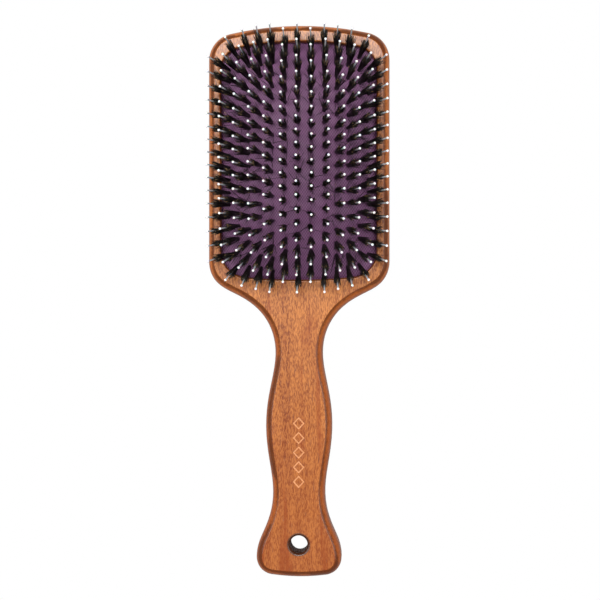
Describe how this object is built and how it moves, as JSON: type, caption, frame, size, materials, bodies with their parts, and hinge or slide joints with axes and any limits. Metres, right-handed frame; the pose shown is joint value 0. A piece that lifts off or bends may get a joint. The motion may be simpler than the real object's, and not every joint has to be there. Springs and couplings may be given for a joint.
{
  "type": "vanity hairbrush",
  "caption": "Wooden paddle hairbrush with a domed rubber air cushion that carries bristle tufts round ball-tipped nylon pins, and a hanging hole in its handle.",
  "frame": {"origin": "middle of the brush's length and width, on the plane that its back rests on", "axes": "+Y from the handle to the head, +Z from the back towards the pins, +X to the right with the head up and the pins facing the viewer"},
  "size_m": [0.082, 0.25, 0.0391],
  "materials": {
    "wood": "clear satin lacquer over a warm brown stain",
    "rubber": "matt, with a fine diagonal cloth texture",
    "scrim": "plain woven cotton",
    "nylon": "smooth, slightly see-through",
    "bristle": "natural bristle, dark with paler tips",
    "wire": "drawn wire"
  },
  "bodies": {
    "root": {"board": "wood", "cushion": "rubber", "scrim": "scrim"},
    "press_column_01": {"staples_01": "wire"},
    "pin_column_01": {"pins_01": "nylon", "tufts_01": "bristle"},
    "press_column_02": {"staples_02": "wire"},
    "pin_column_02": {"pins_02": "nylon", "tufts_02": "bristle"},
    "press_column_03": {"staples_03": "wire"},
    "pin_column_03": {"pins_03": "nylon", "tufts_03": "bristle"},
    "press_column_04": {"staples_04": "wire"},
    "pin_column_04": {"pins_04": "nylon", "tufts_04": "bristle"},
    "press_column_05": {"staples_05": "wire"},
    "pin_column_05": {"pins_05": "nylon", "tufts_05": "bristle"},
    "press_column_06": {"staples_06": "wire"},
    "pin_column_06": {"pins_06": "nylon", "tufts_06": "bristle"},
    "press_column_07": {"staples_07": "wire"},
    "pin_column_07": {"pins_07": "nylon", "tufts_07": "bristle"},
    "press_column_08": {"staples_08": "wire"},
    "pin_column_08": {"pins_08": "nylon", "tufts_08": "bristle"},
    "press_column_09": {"staples_09": "wire"},
    "pin_column_09": {"pins_09": "nylon", "tufts_09": "bristle"},
    "press_column_10": {"staples_10": "wire"},
    "pin_column_10": {"pins_10": "nylon", "tufts_10": "bristle"},
    "press_column_11": {"staples_11": "wire"},
    "pin_column_11": {"pins_11": "nylon", "tufts_11": "bristle"},
    "press_column_12": {"staples_12": "wire"},
    "pin_column_12": {"pins_12": "nylon", "tufts_12": "bristle"},
    "press_column_13": {"staples_13": "wire"},
    "pin_column_13": {"pins_13": "nylon", "tufts_13": "bristle"}
  },
  "joints": [
    {"name": "press_01", "type": "slide", "parent": "root", "child": "press_column_01", "axis": [0, 0, -1], "range_m": [0, 0.000903], "stiffness_N_per_m": 600},
    {"name": "rake_01", "type": "hinge", "parent": "press_column_01", "child": "pin_column_01", "pos_m": [-0.03, 0.0634, 0.00933], "axis": [0, 1, 0], "range_deg": [-5.4, 5.4], "stiffness_Nm_per_rad": 0.45},
    {"name": "press_02", "type": "slide", "parent": "root", "child": "press_column_02", "axis": [0, 0, -1], "range_m": [0, 0.00145], "stiffness_N_per_m": 600},
    {"name": "rake_02", "type": "hinge", "parent": "press_column_02", "child": "pin_column_02", "pos_m": [-0.02615, 0.0634, 0.01032], "axis": [0, 1, 0], "range_deg": [-9, 9], "stiffness_Nm_per_rad": 0.45},
    {"name": "press_03", "type": "slide", "parent": "root", "child": "press_column_03", "axis": [0, 0, -1], "range_m": [0, 0.00199], "stiffness_N_per_m": 600},
    {"name": "rake_03", "type": "hinge", "parent": "press_column_03", "child": "pin_column_03", "pos_m": [-0.02149, 0.0634, 0.01127], "axis": [0, 1, 0], "range_deg": [-9, 9], "stiffness_Nm_per_rad": 0.45},
    {"name": "press_04", "type": "slide", "parent": "root", "child": "press_column_04", "axis": [0, 0, -1], "range_m": [0, 0.00244], "stiffness_N_per_m": 600},
    {"name": "rake_04", "type": "hinge", "parent": "press_column_04", "child": "pin_column_04", "pos_m": [-0.01653, 0.0634, 0.01199], "axis": [0, 1, 0], "range_deg": [-9, 9], "stiffness_Nm_per_rad": 0.45},
    {"name": "press_05", "type": "slide", "parent": "root", "child": "press_column_05", "axis": [0, 0, -1], "range_m": [0, 0.00276], "stiffness_N_per_m": 600},
    {"name": "rake_05", "type": "hinge", "parent": "press_column_05", "child": "pin_column_05", "pos_m": [-0.01131, 0.0634, 0.0125], "axis": [0, 1, 0], "range_deg": [-9, 9], "stiffness_Nm_per_rad": 0.45},
    {"name": "press_06", "type": "slide", "parent": "root", "child": "press_column_06", "axis": [0, 0, -1], "range_m": [0, 0.00295], "stiffness_N_per_m": 600},
    {"name": "rake_06", "type": "hinge", "parent": "press_column_06", "child": "pin_column_06", "pos_m": [-0.00557, 0.0634, 0.01317], "axis": [0, 1, 0], "range_deg": [-9, 9], "stiffness_Nm_per_rad": 0.45},
    {"name": "press_07", "type": "slide", "parent": "root", "child": "press_column_07", "axis": [0, 0, -1], "range_m": [0, 0.003], "stiffness_N_per_m": 600, "deforming": ["cushion", "scrim"]},
    {"name": "rake_07", "type": "hinge", "parent": "press_column_07", "child": "pin_column_07", "pos_m": [0, 0.0634, 0.01293], "axis": [0, 1, 0], "range_deg": [-9, 9], "stiffness_Nm_per_rad": 0.45},
    {"name": "press_08", "type": "slide", "parent": "root", "child": "press_column_08", "axis": [0, 0, -1], "range_m": [0, 0.00295], "stiffness_N_per_m": 600},
    {"name": "rake_08", "type": "hinge", "parent": "press_column_08", "child": "pin_column_08", "pos_m": [0.00557, 0.0634, 0.01317], "axis": [0, 1, 0], "range_deg": [-9, 9], "stiffness_Nm_per_rad": 0.45},
    {"name": "press_09", "type": "slide", "parent": "root", "child": "press_column_09", "axis": [0, 0, -1], "range_m": [0, 0.00276], "stiffness_N_per_m": 600},
    {"name": "rake_09", "type": "hinge", "parent": "press_column_09", "child": "pin_column_09", "pos_m": [0.01131, 0.0634, 0.0125], "axis": [0, 1, 0], "range_deg": [-9, 9], "stiffness_Nm_per_rad": 0.45},
    {"name": "press_10", "type": "slide", "parent": "root", "child": "press_column_10", "axis": [0, 0, -1], "range_m": [0, 0.00244], "stiffness_N_per_m": 600},
    {"name": "rake_10", "type": "hinge", "parent": "press_column_10", "child": "pin_column_10", "pos_m": [0.01653, 0.0634, 0.01199], "axis": [0, 1, 0], "range_deg": [-9, 9], "stiffness_Nm_per_rad": 0.45},
    {"name": "press_11", "type": "slide", "parent": "root", "child": "press_column_11", "axis": [0, 0, -1], "range_m": [0, 0.00199], "stiffness_N_per_m": 600},
    {"name": "rake_11", "type": "hinge", "parent": "press_column_11", "child": "pin_column_11", "pos_m": [0.02149, 0.0634, 0.01127], "axis": [0, 1, 0], "range_deg": [-9, 9], "stiffness_Nm_per_rad": 0.45},
    {"name": "press_12", "type": "slide", "parent": "root", "child": "press_column_12", "axis": [0, 0, -1], "range_m": [0, 0.00145], "stiffness_N_per_m": 600},
    {"name": "rake_12", "type": "hinge", "parent": "press_column_12", "child": "pin_column_12", "pos_m": [0.02615, 0.0634, 0.01032], "axis": [0, 1, 0], "range_deg": [-9, 9], "stiffness_Nm_per_rad": 0.45},
    {"name": "press_13", "type": "slide", "parent": "root", "child": "press_column_13", "axis": [0, 0, -1], "range_m": [0, 0.000903], "stiffness_N_per_m": 600},
    {"name": "rake_13", "type": "hinge", "parent": "press_column_13", "child": "pin_column_13", "pos_m": [0.03, 0.0634, 0.00933], "axis": [0, 1, 0], "range_deg": [-5.4, 5.4], "stiffness_Nm_per_rad": 0.45}
  ],
  "couplings": [
    {"joint": "press_01", "follows": "press_07", "ratio": 0.3007},
    {"joint": "rake_01", "follows": "rake_07", "ratio": 0.6},
    {"joint": "press_02", "follows": "press_07", "ratio": 0.4834},
    {"joint": "rake_02", "follows": "rake_07", "ratio": 1},
    {"joint": "press_03", "follows": "press_07", "ratio": 0.6645},
    {"joint": "rake_03", "follows": "rake_07", "ratio": 1},
    {"joint": "press_04", "follows": "press_07", "ratio": 0.8117},
    {"joint": "rake_04", "follows": "rake_07", "ratio": 1},
    {"joint": "press_05", "follows": "press_07", "ratio": 0.9183},
    {"joint": "rake_05", "follows": "rake_07", "ratio": 1},
    {"joint": "press_06", "follows": "press_07", "ratio": 0.9828},
    {"joint": "rake_06", "follows": "rake_07", "ratio": 1},
    {"joint": "press_08", "follows": "press_07", "ratio": 0.9828},
    {"joint": "rake_08", "follows": "rake_07", "ratio": 1},
    {"joint": "press_09", "follows": "press_07", "ratio": 0.9183},
    {"joint": "rake_09", "follows": "rake_07", "ratio": 1},
    {"joint": "press_10", "follows": "press_07", "ratio": 0.8117},
    {"joint": "rake_10", "follows": "rake_07", "ratio": 1},
    {"joint": "press_11", "follows": "press_07", "ratio": 0.6645},
    {"joint": "rake_11", "follows": "rake_07", "ratio": 1},
    {"joint": "press_12", "follows": "press_07", "ratio": 0.4834},
    {"joint": "rake_12", "follows": "rake_07", "ratio": 1},
    {"joint": "press_13", "follows": "press_07", "ratio": 0.3007},
    {"joint": "rake_13", "follows": "rake_07", "ratio": 0.6}
  ]
}
